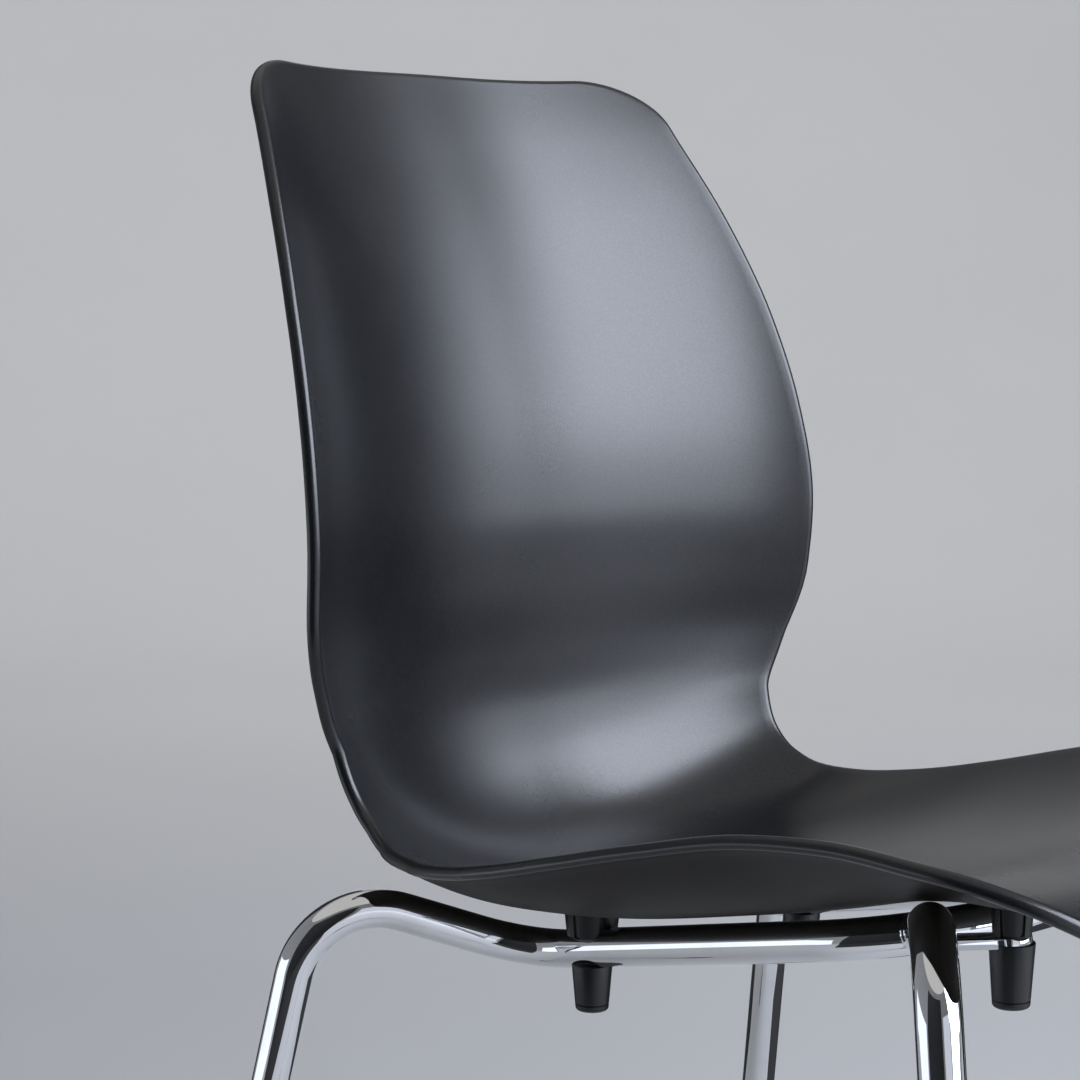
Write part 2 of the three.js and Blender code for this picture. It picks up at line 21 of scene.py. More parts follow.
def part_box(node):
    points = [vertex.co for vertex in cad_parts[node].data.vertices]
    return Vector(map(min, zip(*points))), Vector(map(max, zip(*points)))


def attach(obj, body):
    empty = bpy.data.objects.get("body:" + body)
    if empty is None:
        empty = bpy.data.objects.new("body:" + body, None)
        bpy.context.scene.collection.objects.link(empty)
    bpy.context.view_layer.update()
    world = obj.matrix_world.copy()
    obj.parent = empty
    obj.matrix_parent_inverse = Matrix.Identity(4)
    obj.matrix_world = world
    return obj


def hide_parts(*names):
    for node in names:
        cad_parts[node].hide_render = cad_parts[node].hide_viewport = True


MM = 0.001
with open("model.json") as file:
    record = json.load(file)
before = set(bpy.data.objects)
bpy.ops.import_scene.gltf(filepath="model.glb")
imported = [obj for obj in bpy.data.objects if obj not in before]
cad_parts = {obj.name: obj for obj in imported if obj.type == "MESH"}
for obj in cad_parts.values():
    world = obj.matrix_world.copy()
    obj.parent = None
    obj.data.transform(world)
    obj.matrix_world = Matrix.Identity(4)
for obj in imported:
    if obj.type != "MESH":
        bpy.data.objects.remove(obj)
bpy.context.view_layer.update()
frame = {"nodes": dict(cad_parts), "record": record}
nodes = frame["nodes"]

# %% [markdown]
# The camera comes first, because the photograph was taken from close by and its perspective
# decides how every form reads. The lens is long, and the camera stands level with the back and
# looks slightly down at the chair's right front corner. Its place is counted from the rear screws,
# so the first thing to find is where they stand.

# %% Find the rear screws and the rails, and set the camera
TUBE_RADIUS = 10 * MM
BUFFER_DEPTH = 32 * MM


def middle_of(node):
    low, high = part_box(node)
    return (low + high) / 2


def line_over(cap):
    """Height of the line that the rails follow, over a cap under the frame."""
    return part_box(cap)[0].z + BUFFER_DEPTH


SCREW_X = middle_of("seat_screw_rear_left").x
SCREW_Y = middle_of("seat_screw_rear_left").y
FRONT_SCREW_REACH = SCREW_Y - middle_of("seat_screw_front_left").y
rail_start = line_over("stacking_buffer_rear_left")
rail_climb = line_over("stacking_buffer_front_left") - rail_start
RAIL_TILT = math.atan(rail_climb / FRONT_SCREW_REACH)
print("rear screws at", SCREW_X, SCREW_Y, "rails at", rail_start, "tilt", math.degrees(RAIL_TILT))

SENSOR = 36.0
PHOTO_SIDE = 1080
FOCAL_LENGTH_IN_PIXELS = 2780
CAMERA_FROM_SCREWS = Vector((-1081.68, -960.96, 340.19)) * MM
CAMERA_AZIMUTH = math.radians(-45.013)
CAMERA_PITCH = math.radians(5.448)


def put_in_scene(name, data):
    thing = bpy.data.objects.new(name, data)
    bpy.context.scene.collection.objects.link(thing)
    return thing


def make_camera():
    data = bpy.data.cameras.new("camera")
    data.sensor_width = SENSOR
    data.lens = SENSOR * (FOCAL_LENGTH_IN_PIXELS / PHOTO_SIDE)
    camera = put_in_scene("camera", data)
    camera.location = Vector((0, SCREW_Y, rail_start)) + CAMERA_FROM_SCREWS
    camera.rotation_euler = (math.pi / 2 - CAMERA_PITCH, 0, CAMERA_AZIMUTH)
    bpy.context.scene.camera = camera
    return camera


camera = make_camera()
print("camera at", [round(v, 4) for v in camera.location])

# %% [markdown]
# Every new piece goes through the same last steps: it is put in the scene, its faces are smoothed
# with sharp edges kept, it rides on the chair's one body, and it stands for the faceted nodes that
# it replaces. A small helper does that, so that each piece's own cell is only about its shape.

# %% Helpers for finished pieces
SMOOTH_BELOW = math.radians(35)
MERGE_DISTANCE = 1e-6
ARC_STEPS = 5


def mesh_from(bm, name):
    mesh = bpy.data.meshes.new(name)
    bm.to_mesh(mesh)
    bm.free()
    return mesh


def piece_from(bm, name, finish, *replaced):
    """Turns a bmesh into a finished piece of the chair."""
    bmesh.ops.remove_doubles(bm, verts=bm.verts, dist=MERGE_DISTANCE)
    bmesh.ops.recalc_face_normals(bm, faces=bm.faces)
    mesh = mesh_from(bm, name)
    piece = put_in_scene(name, mesh)
    mesh.shade_smooth()
    mesh.set_sharp_from_angle(angle=SMOOTH_BELOW)
    mesh.materials.append(finish)
    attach(piece, "root")
    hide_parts(*replaced)
    print(f"{name}: {len(mesh.polygons)} faces")
    return piece


def only(kind, geometry):
    """The vertices, edges or faces among what an operator gives back."""
    return [g for g in geometry if isinstance(g, kind)]


def everything(bm):
    return bm.verts[:] + bm.edges[:] + bm.faces[:]


def arc(radius, height, size, start, end, steps=ARC_STEPS):
    """Points of an arc in a profile, with angles in degrees from straight out."""
    angles = [math.radians(start + (end - start) * k / steps) for k in range(steps + 1)]
    return [(radius + size * math.cos(a), height + size * math.sin(a)) for a in angles]


# %% [markdown]
# Finishes are shader node trees, and long node trees are hard to read when each link is a line of
# its own. Here a socket is wrapped in a small class, so that shader maths is written as plain
# arithmetic, and one method makes every other kind of node.

# %% A small language for finishes
class Value:
    """A number that varies over a surface, with arithmetic that adds Math nodes."""

    def __init__(self, finish, socket):
        self.finish = finish
        self.socket = socket

    def math(self, operation, first, second):
        node = self.finish.node("ShaderNodeMath", {"operation": operation}, {0: first, 1: second})
        return Value(self.finish, node.outputs[0])

    def __add__(self, other):
        return self.math("ADD", self, other)

    def __mul__(self, other):
        return self.math("MULTIPLY", self, other)

    __radd__ = __add__
    __rmul__ = __mul__


def set_stops(node, stops):
    """Gives a colour ramp its grey stops, as pairs of a position and a level."""
    elements = node.color_ramp.elements
    for element, (position, level) in zip(elements, stops):
        element.position = position
        element.color = (level, level, level, 1)


class Finish:
    """A procedural material: one surface shader, and the nodes that vary it."""

    def __init__(self, name, slot="", **settings):
        self.material = bpy.data.materials.new(name)
        self.material["slot"] = slot
        self.material.use_nodes = True
        self.tree = self.material.node_tree
        self.shader = self.tree.nodes["Principled BSDF"]
        self.place = self.node("ShaderNodeTexCoord").outputs["Object"]
        for socket, value in settings.items():
            self.shader.inputs[socket.replace("_", " ")].default_value = value

    def node(self, kind, settings=None, sockets=None):
        """Makes a node, sets it up, then gives its sockets values or links."""
        node = self.tree.nodes.new(kind)
        for key, value in (settings or {}).items():
            if key == "stops":
                set_stops(node, value)
            else:
                setattr(node, key, value)
        for key, value in (sockets or {}).items():
            self.feed(node.inputs[key], value)
        return node

    def feed(self, socket, value):
        if isinstance(value, Value):
            value = value.socket
        if isinstance(value, bpy.types.NodeSocket):
            self.tree.links.new(value, socket)
        else:
            socket.default_value = value

    def noise(self, size, detail=2.0, roughness=0.5, stretch=(1, 1, 1)):
        """Cloudy noise with features of about that size, from 0 to 1."""
        place = self.place
        if stretch != (1, 1, 1):
            place = self.node("ShaderNodeMapping", {}, {"Vector": place, "Scale": stretch}).outputs[0]
        sockets = {"Vector": place, "Scale": 1 / size, "Detail": detail, "Roughness": roughness}
        return Value(self, self.node("ShaderNodeTexNoise", {}, sockets).outputs[0])

    def ramp(self, value, *stops):
        node = self.node("ShaderNodeValToRGB", {"stops": stops}, {0: value})
        return Value(self, node.outputs[0])

    def blend(self, factor, first, second):
        """A colour between two colours. Sockets 6, 7 and 2 are the Mix node's A, B and result."""
        sockets = {0: factor, 6: (*first, 1), 7: (*second, 1)}
        return self.node("ShaderNodeMix", {"data_type": "RGBA"}, sockets).outputs[2]

    def relief(self, height, depth, strength):
        sockets = {"Height": height, "Distance": depth, "Strength": strength}
        bump = self.node("ShaderNodeBump", {}, sockets)
        self.feed(self.shader.inputs["Normal"], bump.outputs[0])

    def vary(self, **sockets):
        """Links what changes over the surface to the surface shader."""
        for socket, value in sockets.items():
            self.feed(self.shader.inputs[socket.replace("_", " ")], value)
        return self.material


# %% [markdown]
# The shell is moulded polypropylene. Its tool was spark-eroded, which leaves a fine, even grain: it
# spreads a lamp's reflection into a soft glow, and close up it sparkles. The black is a charcoal
# with a little blue in it. The grain is noise of about a millimetre in a shallow relief, and its
# peaks also carry a little more coat, because they are rubbed smoother. Two slower noises change the
# gloss a little, as handling does. The side away from the sitter comes from the other half of the
# tool, which is coarser, so it is duller. Its colour is also lighter and warmer than the sitter's
# side, and that is a painted reflection of the warm floor under the chair.

# %% The shell's plastic
GRAIN = 0.9 * MM
GRAIN_DEPTH = 0.1 * MM
CLOUD = 45 * MM
HANDLING = 160 * MM


def shell_finish(name, dark, light, roughness, specular):
    finish = Finish(name, "shell_plastic", Specular_IOR_Level=specular, Coat_Roughness=0.24)
    grain = finish.noise(GRAIN, detail=3, roughness=0.65)
    sparkle = finish.ramp(grain, (0.42, 0.0), (0.66, 1.0))
    cloud = finish.noise(CLOUD, detail=4, roughness=0.55)
    handled = finish.noise(HANDLING)
    finish.relief(grain, GRAIN_DEPTH, 0.4)
    colour = finish.blend(cloud * 0.3 + sparkle * 0.7, dark, light)
    rough = roughness + 0.04 * cloud + 0.04 * handled
    coat = specular * (0.35 + 0.3 * sparkle)
    return finish.vary(Base_Color=colour, Roughness=rough, Coat_Weight=coat)


# %% [markdown]
# The frame is steel tube, bent, welded and then chromed. Chrome is a mirror, so its look is mostly
# what stands around it. What makes it real is small: a plating that is not quite flat, so that
# long reflections waver, and a film of dust and wiped fingerprints that lifts the roughness in
# patches.

# %% The chrome
SMUDGE = 28 * MM
DUST = 1.1 * MM
WAVE = 22 * MM
WAVE_DEPTH = 0.05 * MM
CLEAN_CHROME = (0.83, 0.84, 0.85)
FILMED_CHROME = (0.74, 0.745, 0.75)
POLISH = 0.015


def chrome_finish(name, haze=0.0):
    finish = Finish(name, "chrome", Metallic=1.0)
    smudge = finish.noise(SMUDGE, detail=5, roughness=0.6)
    film = finish.ramp(smudge, (0.48, 0.0), (0.75, 1.0))
    dust = finish.ramp(finish.noise(DUST), (0.66, 0.0), (0.74, 1.0))
    wave = finish.noise(WAVE, detail=1)
    finish.relief(wave, WAVE_DEPTH, 0.5)
    colour = finish.blend(film * 0.7 + dust * 0.3, CLEAN_CHROME, FILMED_CHROME)
    rough = (POLISH + haze) + 0.035 * film + 0.05 * dust
    return finish.vary(Base_Color=colour, Roughness=rough)


# %% [markdown]
# The caps under the frame, the bosses and the glides are black nylon, as dark as the shell but a
# little duller. Screws are zinc plated and lightly streaked, and the threaded inserts are turned
# brass, whose fine turning marks run round the axis.

# %% The small parts' finishes
NYLON_SKIN = 0.9 * MM
NYLON_CLOUD = 14 * MM
NYLON_COLOURS = ((0.006, 0.006, 0.0065), (0.010, 0.010, 0.0105))
ZINC_STREAK = 1.2 * MM
ZINC_CLOUD = 5 * MM
ZINC_COLOURS = ((0.5, 0.51, 0.53), (0.62, 0.62, 0.6))
TURNING_MARK = 0.5 * MM
TARNISH = 4 * MM
BRASS_COLOURS = ((0.62, 0.43, 0.16), (0.48, 0.32, 0.12))


def black_plastic_finish():
    finish = Finish("black_nylon", "black_plastic")
    skin = finish.noise(NYLON_SKIN)
    cloud = finish.noise(NYLON_CLOUD, detail=3)
    finish.relief(skin, 0.05 * MM, 0.4)
    colour = finish.blend(cloud, *NYLON_COLOURS)
    return finish.vary(Base_Color=colour, Roughness=0.34 + 0.12 * cloud)


def zinc_finish():
    finish = Finish("zinc_plate", "zinc_steel", Metallic=1.0)
    streak = finish.noise(ZINC_STREAK, detail=3, stretch=(1, 1, 0.15))
    cloud = finish.noise(ZINC_CLOUD, detail=3)
    finish.relief(streak, 0.02 * MM, 0.4)
    colour = finish.blend(cloud, *ZINC_COLOURS)
    return finish.vary(Base_Color=colour, Roughness=0.26 + 0.14 * streak)


def brass_finish():
    finish = Finish("turned_brass", "brass", Metallic=1.0)
    turning = finish.noise(TURNING_MARK, stretch=(0.1, 0.1, 1))
    tarnish = finish.noise(TARNISH, detail=3)
    finish.relief(turning, 0.03 * MM, 0.5)
    colour = finish.blend(tarnish, *BRASS_COLOURS)
    return finish.vary(Base_Color=colour, Roughness=0.22 + 0.16 * tarnish)


FACE_COLOURS = ((0.002, 0.0022, 0.0028), (0.012, 0.0127, 0.0148))
# The underside's colours are lighter and warmer than the face's. This is a painted reflection of the
# warm floor under the chair, not a tint of the plastic.
UNDERSIDE_COLOURS_WITH_PAINTED_REFLECTION = ((0.006, 0.0051, 0.0038), (0.018, 0.0153, 0.0114))
SHELL_PLASTIC = shell_finish("satin_shell", *FACE_COLOURS, roughness=0.24, specular=0.45)
# The underside is the duller plastic, and its lighter, warmer colour is a painted floor reflection.
SHELL_UNDERSIDE = shell_finish("dull_shell_painted_reflection", *UNDERSIDE_COLOURS_WITH_PAINTED_REFLECTION, roughness=0.5, specular=0.07)
CHROME = chrome_finish("polished_chrome")
BLACK_PLASTIC = black_plastic_finish()
ZINC = zinc_finish()
BRASS = brass_finish()
print("finishes:", [m.name for m in bpy.data.materials if m.use_nodes])

# %% [markdown]
# The shell's form comes from one line down its middle, from the front edge of the seat to the top
# of the back. Each row of the table gives a place on that line, the half width there, and how far
# the rim stands up from the middle, all as shares of the shell's own depth, rise, width and dish. A
# smooth curve runs through the rows, as a spline does through the stations of a boat's plan, and the
# same curve carries the widths.

# %% The shell's stations
SHELL_DEPTH = 577 * MM
SHELL_RISE = 453 * MM
SHELL_WIDTH = 408 * MM
DISH_DEPTH = 44 * MM
DISH_POWER = 2.66
SHELL_WALL = 6 * MM
RIM_DRAW_IN = 1.2 * MM
SEAT_CORNER_RADIUS = 55 * MM
BACK_CORNER_RADIUS = 38 * MM
SEAT_EDGE_BOW = 8 * MM
BACK_EDGE_BOW = 20 * MM
BOW_FADE = 130 * MM

# Each row: share of the depth, of the rise, of the half width, of the dish
middle_line_shares = [
    (-0.622, 0.13, 0.995, 0.8),
    (-0.596, 0.1425, 0.995, 0.79),
    (-0.56, 0.1475, 0.995, 0.812),
    (-0.51, 0.1455, 0.995, 0.88),
    (-0.44, 0.1395, 0.985, 0.975),
    (-0.35, 0.1225, 0.985, 1.045),
    (-0.255, 0.0925, 0.99, 1.075),
    (-0.165, 0.0685, 0.985, 1.025),
    (-0.075, 0.047, 0.96, 0.955),
    (0.0, 0.036, 0.912, 0.88),
    (0.06, 0.03, 0.86, 0.875),
    (0.12, 0.034, 0.817, 0.915),
    (0.172, 0.064, 0.796, 0.938),
    (0.211, 0.122, 0.794, 0.905),
    (0.231, 0.2, 0.808, 0.865),
    (0.233, 0.28, 0.868, 0.92),
    (0.227, 0.37, 0.926, 1.02),
    (0.224, 0.46, 0.933, 1.035),
    (0.237, 0.57, 0.916, 1.005),
    (0.262, 0.68, 0.882, 0.95),
    (0.296, 0.79, 0.83, 0.86),
    (0.337, 0.9, 0.768, 0.755),
    (0.3732, 0.9915, 0.729, 0.68),
]
stations = np.array(middle_line_shares)
line_stations = stations[:, :2] * (SHELL_DEPTH, SHELL_RISE)
spread_stations = stations[:, 2:] * (SHELL_WIDTH / 2, DISH_DEPTH)


def through(points, t):
    """A smooth curve through the points, at t from 0 to 1, with knots spaced by distance."""
    span = min(int(t * (len(points) - 1)), len(points) - 2)
    w = t * (len(points) - 1) - span
    before = points[span - 1] if span else 2 * points[0] - points[1]
    after = points[span + 2] if span + 2 < len(points) else 2 * points[-1] - points[-2]
    p = [before, points[span], points[span + 1], after]
    k = [math.sqrt(np.linalg.norm(p[i + 1] - p[i])) for i in range(3)]
    into = ((p[1] - p[0]) / k[0] - (p[2] - p[0]) / (k[0] + k[1])) * k[1] + (p[2] - p[1])
    out = ((p[3] - p[2]) / k[2] - (p[3] - p[1]) / (k[1] + k[2])) * k[1] + (p[2] - p[1])
    cubic = 2 * p[1] - 2 * p[2] + into + out
    square = 3 * p[2] - 3 * p[1] - 2 * into - out
    return p[1] + into * w + square * w**2 + cubic * w**3


SAMPLE_COUNT = 801
SAMPLES = np.linspace(0, 1, SAMPLE_COUNT)
sampled = np.array([through(line_stations, t) for t in SAMPLES])
travelled = np.concatenate([[0], np.cumsum(np.linalg.norm(np.diff(sampled, axis=0), axis=1))])
middle_length = travelled[-1]
print("the middle line is", round(middle_length, 4), "m long")

# %% [markdown]
# Any point of the shell's upper surface is now a share of the middle line and a distance across.
# The rim leaves the middle line at right angles, and it rises faster near the edge than in the
# middle, so a sitter's hips lie almost flat.

# %% A point of the shell's surface
SLOPE_STEP = 1e-4


def station_at(share):
    t = np.interp(share * middle_length, travelled, SAMPLES)
    half, dish = through(spread_stations, t)
    return t, half, dish


def surface_point(share, x):
    t, half, dish = station_at(share)
    y, z = through(line_stations, t)
    ahead, behind = min(t + SLOPE_STEP, 1), max(t - SLOPE_STEP, 0)
    run = through(line_stations, ahead) - through(line_stations, behind)
    run /= np.linalg.norm(run)
    rise = dish * abs(x / half) ** DISH_POWER
    return Vector((x, y - run[1] * rise, z + run[0] * rise))


def corner_cut(distance, radius):
    """How much a rounded corner takes off the half width."""
    if distance >= radius:
        return 0.0
    return radius - math.sqrt(radius**2 - (radius - distance) ** 2)


def half_width_at(share):
    from_front = share * middle_length
    from_top = middle_length - from_front
    half = station_at(share)[1] - RIM_DRAW_IN
    return half - corner_cut(from_front, SEAT_CORNER_RADIUS) - corner_cut(from_top, BACK_CORNER_RADIUS)


def bow_at(share, across):
    """How far the bowed front and top edges draw a point in, along the middle line."""
    from_front = share * middle_length
    front = SEAT_EDGE_BOW * max(0.0, 1 - from_front / BOW_FADE) ** 2
    top = BACK_EDGE_BOW * max(0.0, 1 - (middle_length - from_front) / BOW_FADE) ** 2
    return (front - top) * across**2 / middle_length


# %% [markdown]
# A grid of squares is the simplest sheet to start from. Its rows are packed closer round the four
# rounded corners, and each of its points is carried to its place on the surface. A Solidify modifier
# would give the wall the same thickness everywhere. The real shell has a slightly thicker rim with a
# large round on the sitter's side, so the wall is built here: a copy of the sheet becomes the
# underside, the sheet's edge is pushed on round the rim's profile, ring by ring, and the last ring is
# bridged to the underside.

# %% The shell
SHELL_COLUMNS = 96
CORNER_ROWS = 14
SHELL_ROWS = 120
RIM_THICKNESS = 7 * MM
RIM_FACE_RADIUS = 3.5 * MM
RIM_FACE_STEPS = 7
RIM_BACK_RADIUS = 2.8 * MM
RIM_BACK_STEPS = 6
RIM_FADE = 12 * MM
SHELL_GAP = 7.5 * MM
UP = Vector((0, 0, 1))


def row_shares():
    quarter = [1 - math.cos(k / CORNER_ROWS * math.pi / 2) for k in range(CORNER_ROWS)]
    rows = [SEAT_CORNER_RADIUS * q for q in quarter]
    rows += list(np.linspace(SEAT_CORNER_RADIUS, middle_length - BACK_CORNER_RADIUS, SHELL_ROWS))
    rows += [middle_length - BACK_CORNER_RADIUS * q for q in reversed(quarter)]
    return [row / middle_length for row in rows]


def make_shell():
    shares = row_shares()
    bm = bmesh.new()
    rows = len(shares) - 1
    bmesh.ops.create_grid(bm, x_segments=SHELL_COLUMNS, y_segments=rows, size=1)
    halves = [half_width_at(share) for share in shares]
    for v in bm.verts:
        row = round((v.co.y + 1) / 2 * rows)
        x = halves[row] * v.co.x
        share = shares[row]
        v.co = surface_point(share + bow_at(share, 2 * x / SHELL_WIDTH), x)
    bm.faces.ensure_lookup_table()
    bm.normal_update()
    seat_face = bm.faces[len(bm.faces) // 4]
    if seat_face.normal.z < 0:
        bmesh.ops.reverse_faces(bm, faces=bm.faces)
    return bm


def underside_at(tree, x, y, depth):
    """Height of the surface that lies a depth below the seat's upper surface."""
    hit, normal, _, _ = tree.ray_cast(Vector((x, y, -1)), UP)
    return hit.z - depth / abs(normal.z)


def seat_on_rails(bm):
    """Stands the sheet over the rails, with the real gap at the rear screws."""
    bmesh.ops.translate(bm, vec=(0, SCREW_Y, 0), verts=bm.verts)
    underside = underside_at(BVHTree.FromBMesh(bm), SCREW_X, SCREW_Y, SHELL_WALL)
    lift = rail_start + TUBE_RADIUS + SHELL_GAP - underside
    bmesh.ops.translate(bm, vec=(0, 0, lift), verts=bm.verts)
    print("the shell is lifted by", round(lift, 5))


def edge_frames(bm):
    """The outward direction and the normal at each point of a sheet's edge."""
    frames = {}
    for v in {v for e in bm.edges if e.is_boundary for v in e.verts}:
        first, second = [e.other_vert(v) for e in v.link_edges if e.is_boundary]
        outward = (first.co - second.co).cross(v.normal).normalized()
        inner = sum((f.calc_center_median() for f in v.link_faces), Vector()) / len(v.link_faces)
        outward *= math.copysign(1, outward.dot(v.co - inner))
        frames[v] = (v.co.copy(), outward, v.normal.copy())
    return frames


def make_underside(bm, frames):
    """Copies the sheet to the wall's far side, a little lower along the rim."""
    edge = KDTree(len(frames))
    for k, v in enumerate(frames):
        edge.insert(v.co, k)
    edge.balance()
    copied = bmesh.ops.duplicate(bm, geom=everything(bm))["geom"]
    for v in only(BMVert, copied):
        near = max(0, 1 - edge.find(v.co)[2] / RIM_FADE)
        v.co -= v.normal * (SHELL_WALL + (RIM_THICKNESS - SHELL_WALL) * near**2)
    for f in only(BMFace, copied):
        f.material_index = 1
    return [e for e in only(BMEdge, copied) if e.is_boundary]


def make_rim(bm, ring, frames, profile):
    """Pushes an edge ring on along a profile of (outward, upward) points."""
    for out, up in profile:
        made = bmesh.ops.extrude_edge_only(bm, edges=ring)["geom"]
        pushed = {}
        for v in only(BMVert, made):
            (before,) = [e.other_vert(v) for e in v.link_edges if e.other_vert(v) in frames]
            place, outward, normal = frames[before]
            v.co = place + outward * out + normal * up
            pushed[v] = frames[before]
        frames = pushed
        ring = [e for e in only(BMEdge, made) if all(v in frames for v in e.verts)]
    return ring


def give_wall(bm):
    bm.normal_update()
    face_round = arc(0, -RIM_FACE_RADIUS, RIM_FACE_RADIUS, 90, 0, RIM_FACE_STEPS)
    back_reach = RIM_FACE_RADIUS - RIM_BACK_RADIUS
    back_height = RIM_BACK_RADIUS - RIM_THICKNESS
    back_round = arc(back_reach, back_height, RIM_BACK_RADIUS, 0, -90, RIM_BACK_STEPS)
    edge = [e for e in bm.edges if e.is_boundary]
    frames = edge_frames(bm)
    under = make_underside(bm, frames)
    ring = make_rim(bm, edge, frames, face_round[1:] + back_round)
    bmesh.ops.bridge_loops(bm, edges=ring + under)


shell_mesh = make_shell()
seat_on_rails(shell_mesh)
shell_tree = BVHTree.FromBMesh(shell_mesh)
give_wall(shell_mesh)
shell = piece_from(shell_mesh, "moulded_shell", SHELL_PLASTIC, "seat_shell")
shell.data.materials.append(SHELL_UNDERSIDE)

# %% [markdown]
# Four bosses grow down from the shell and hold the brass inserts. Each is a cone that widens
# upwards, with upright grooves that keep the plastic thin. The grooves are pairs of side faces
# pushed in, and the top ring is laid into the shell's wall by casting rays at it, so that no gap
# opens where the shell curves.

# %% The bosses under the shell
BOSS_SIDES = 48
BOSS_GROOVES = 6
BOSS_SPREAD = 1.5 * MM
BOSS_WRAP = 3 * MM
GROOVE_DEPTH = 1.1 * MM
GROOVE_EDGE = 0.2 * MM
BOSS_TOP_SHARE = 0.9
INSERT_COVER = 2 * MM
REAR_BOSS_RADIUS = 12.75 * MM
FRONT_BOSS_RADIUS = 8.5 * MM
SIDES = (("right", -1), ("left", 1))


def make_boss(name, x, y, foot, radius):
    crown = underside_at(shell_tree, x, y, SHELL_WALL / 2)
    height = crown - foot
    bm = bmesh.new()
    bmesh.ops.create_cone(
        bm,
        cap_ends=True,
        segments=BOSS_SIDES,
        radius1=radius,
        radius2=radius + BOSS_SPREAD,
        depth=height,
        matrix=Matrix.Translation((x, y, foot + height / 2)),
    )
    step = BOSS_SIDES // BOSS_GROOVES
    sides = [f for f in bm.faces if len(f.verts) == 4]
    sides.sort(key=lambda f: math.atan2(f.calc_center_median().y - y, f.calc_center_median().x - x))
    grooves = [f for k, f in enumerate(sides) if k % step in (0, 1)]
    bmesh.ops.inset_region(bm, faces=grooves, thickness=GROOVE_EDGE, depth=-GROOVE_DEPTH)
    for v in bm.verts:
        if v.co.z > foot + height * BOSS_TOP_SHARE:
            v.co.z = underside_at(shell_tree, v.co.x, v.co.y, SHELL_WALL / 2)
    piece_from(bm, name, BLACK_PLASTIC, "seat_shell")


rear_foot = rail_start + TUBE_RADIUS - BOSS_WRAP
front_y = SCREW_Y - FRONT_SCREW_REACH
for word, side in SIDES:
    make_boss(f"boss_rear_{word}", side * SCREW_X, SCREW_Y, rear_foot, REAR_BOSS_RADIUS)
    front_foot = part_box(f"threaded_insert_front_{word}")[0].z - INSERT_COVER
    make_boss(f"boss_front_{word}", side * SCREW_X, front_y, front_foot, FRONT_BOSS_RADIUS)

# %% [markdown]
# The frame is bent from round tube, and it is modelled the way a tube bender works. A ring is
# pushed out in a straight line to where a bend starts, turned round the bend's centre by the spin
# operator, and pushed on again. Two rings go along together, one for the outside and one for the
# bore, and the open ends are bridged, so the tube has a real wall.

# %% A bender for tubes
TUBE_WALL = 2 * MM
TUBE_SIDES = 48
BEND_STEP = math.radians(4)
LEAST_BEND_STEPS = 2


class BentTube:
    """A hollow round tube, drawn out from its start along straight runs and bends."""

    def __init__(self, start, heading):
        self.bm = bmesh.new()
        self.place = start.copy()
        self.heading = heading.normalized()
        matrix = Matrix.Translation(start) @ self.heading.to_track_quat("Z", "Y").to_matrix().to_4x4()
        for radius in (TUBE_RADIUS, TUBE_RADIUS - TUBE_WALL):
            bmesh.ops.create_circle(self.bm, radius=radius, segments=TUBE_SIDES, matrix=matrix)
        self.start = self.bm.edges[:]
        self.end = self.start

    def straight(self, length):
        made = bmesh.ops.extrude_edge_only(self.bm, edges=self.end)["geom"]
        verts = only(BMVert, made)
        bmesh.ops.translate(self.bm, vec=self.heading * length, verts=verts)
        ends = set(verts)
        self.end = [e for e in only(BMEdge, made) if ends.issuperset(e.verts)]
        self.place += self.heading * length

    def bend(self, heading, radius):
        turn = self.heading.angle(heading)
        axis = self.heading.cross(heading).normalized()
        centre = self.place + axis.cross(self.heading) * radius
        steps = max(LEAST_BEND_STEPS, round(turn / BEND_STEP))
        ring = self.end + list({v for e in self.end for v in e.verts})
        made = bmesh.ops.spin(
            self.bm, geom=ring, cent=centre, axis=axis, angle=turn, steps=steps, use_merge=False
        )
        self.end = only(BMEdge, made["geom_last"])
        self.place = centre + Quaternion(axis, turn) @ (self.place - centre)
        self.heading = heading.normalized()

    def bridge(self, edges):
        bmesh.ops.bridge_loops(self.bm, edges=edges)


def bent_tube(corners, radii):
    """A tube that follows straight lines between corners, rounded to the radii."""
    headings = [(b - a).normalized() for a, b in zip(corners, corners[1:])]
    tube = BentTube(corners[0], headings[0])
    for corner, heading, radius in zip(corners[1:], headings[1:], radii):
        setback = radius * math.tan(tube.heading.angle(heading) / 2)
        tube.straight((corner - tube.place).length - setback)
        tube.bend(heading, radius)
    tube.straight((corners[-1] - tube.place).length)
    return tube


# %% [markdown]
# One long tube makes both rear legs, both rails and the crossbar. Only its left half is bent here,
# from the middle of the crossbar to the rear foot, and a mirror makes the other half and welds the
# two at the middle.

# %% The long tube
CROSSBAR_REACH = 213 * MM
KINK_REACH = 43 * MM
REAR_SHOULDER = Vector((184.5, 98, 33)) * MM
CORNER_RADIUS = 65 * MM
KINK_RADIUS = 45 * MM
LEG_BEND_RADIUS = 42 * MM
TUBE_END_GAP = 6.3 * MM
MIRROR_MERGE_DISTANCE = 1e-5

feet = {m["name"]: Vector(m["pos_m"]) for m in frame["record"]["mounts"]}
print("feet:", feet)


def from_screws(x, behind, above):
    """A point counted from the line between the rear screws, at the rails' height."""
    return Vector((x, SCREW_Y + behind, rail_start + above))


def rail_point(x, reach):
    return from_screws(x, -reach, reach * math.tan(RAIL_TILT))


def tube_end(foot, shoulder):
    return foot + (shoulder - foot).normalized() * TUBE_END_GAP


